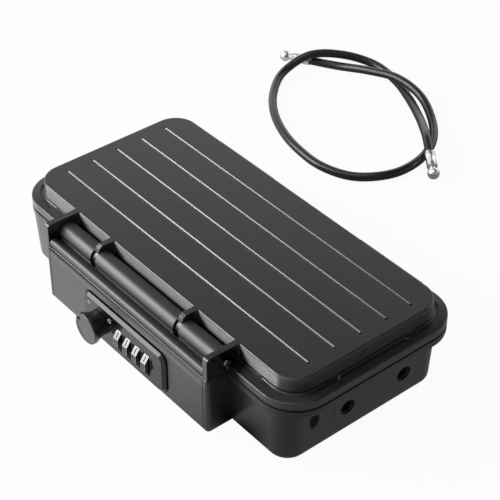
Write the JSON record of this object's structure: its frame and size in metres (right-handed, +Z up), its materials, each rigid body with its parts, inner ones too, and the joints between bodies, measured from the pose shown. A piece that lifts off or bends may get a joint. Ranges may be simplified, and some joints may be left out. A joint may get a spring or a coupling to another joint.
{
  "type": "portable safe",
  "caption": "Slim lockable travel safe with a hinged grooved lid, a latch bar, number dials, a turning knob and a loop of security cable with ball ends.",
  "frame": {"origin": "on the ground under the middle of the case, on the bottom face", "axes": "+X along the long side to the right seen from the lock side, -Y toward the lock side, +Z up"},
  "size_m": [0.3169, 0.3341, 0.054],
  "materials": {
    "shell_plastic": "satin black moulding",
    "lid_plastic": "satin black moulding",
    "latch_plastic": "satin black moulding",
    "plate_metal": "satin dark grey",
    "knob_plastic": "satin black",
    "dial_metal": "white and silver with dark digits",
    "bush_plastic": "matte black",
    "steel": "plain steel",
    "spring_steel": "bright",
    "seal_rubber": "matte black",
    "foam": "open foam, dark grey",
    "cable_jacket": "black cover over a steel rope",
    "ferrule_metal": "bright plated"
  },
  "bodies": {
    "base": {"base_shell": "shell_plastic", "lock_housing": "shell_plastic", "port_plate": "shell_plastic", "gasket": "seal_rubber", "hinge_pins": "steel", "lock_plate": "plate_metal", "lock_cover": "bush_plastic", "cover_screws": "steel", "lock_frame": "steel", "frame_screws": "steel", "dial_axle": "steel", "detent_spring": "spring_steel", "cable_bush_front": "bush_plastic", "cable_bush_rear": "bush_plastic", "cable_catch": "steel", "base_foam": "foam", "security_cable": "cable_jacket", "cable_ferrule_1": "ferrule_metal", "cable_ferrule_2": "ferrule_metal"},
    "lid": {"lid_shell": "lid_plastic", "lid_foam": "foam", "latch_pin": "steel"},
    "latch": {"latch_flap": "latch_plastic"},
    "knob": {"knob": "knob_plastic", "knob_spindle": "steel", "locking_cam": "steel", "cam_screw": "steel"},
    "fence": {"fence_bar": "steel"},
    "dial_1": {"dial_wheel_1": "dial_metal", "code_disc_1": "steel"},
    "dial_2": {"dial_wheel_2": "dial_metal", "code_disc_2": "steel"},
    "dial_3": {"dial_wheel_3": "dial_metal", "code_disc_3": "steel"},
    "dial_4": {"dial_wheel_4": "dial_metal", "code_disc_4": "steel"}
  },
  "joints": [
    {"name": "lid_hinge", "type": "hinge", "parent": "base", "child": "lid", "pos_m": [0, 0.0619, 0.0388], "axis": [-1, 0, 0], "range_deg": [0, 100]},
    {"name": "latch_swing", "type": "hinge", "parent": "lid", "child": "latch", "pos_m": [0, -0.062, 0.045], "axis": [-1, 0, 0], "range_deg": [0, 85]},
    {"name": "knob_turn", "type": "hinge", "parent": "base", "child": "knob", "pos_m": [-0.0195, -0.0754, 0.0185], "axis": [0, 1, 0], "range_deg": [0, 100]},
    {"name": "fence_lift", "type": "slide", "parent": "base", "child": "fence", "axis": [0, 0, 1], "range_m": [0, 0.0012]},
    {"name": "dial_1_turn", "type": "hinge", "parent": "base", "child": "dial_1", "pos_m": [-0.0008, -0.0727, 0.0175], "axis": [1, 0, 0], "continuous": true},
    {"name": "dial_2_turn", "type": "hinge", "parent": "base", "child": "dial_2", "pos_m": [0.0076, -0.0727, 0.0175], "axis": [1, 0, 0], "continuous": true},
    {"name": "dial_3_turn", "type": "hinge", "parent": "base", "child": "dial_3", "pos_m": [0.016, -0.0727, 0.0175], "axis": [1, 0, 0], "continuous": true},
    {"name": "dial_4_turn", "type": "hinge", "parent": "base", "child": "dial_4", "pos_m": [0.0244, -0.0727, 0.0175], "axis": [1, 0, 0], "continuous": true}
  ],
  "couplings": [
    {"joint": "knob_turn", "follows": "fence_lift", "rad_per_m": 1453.7}
  ]
}
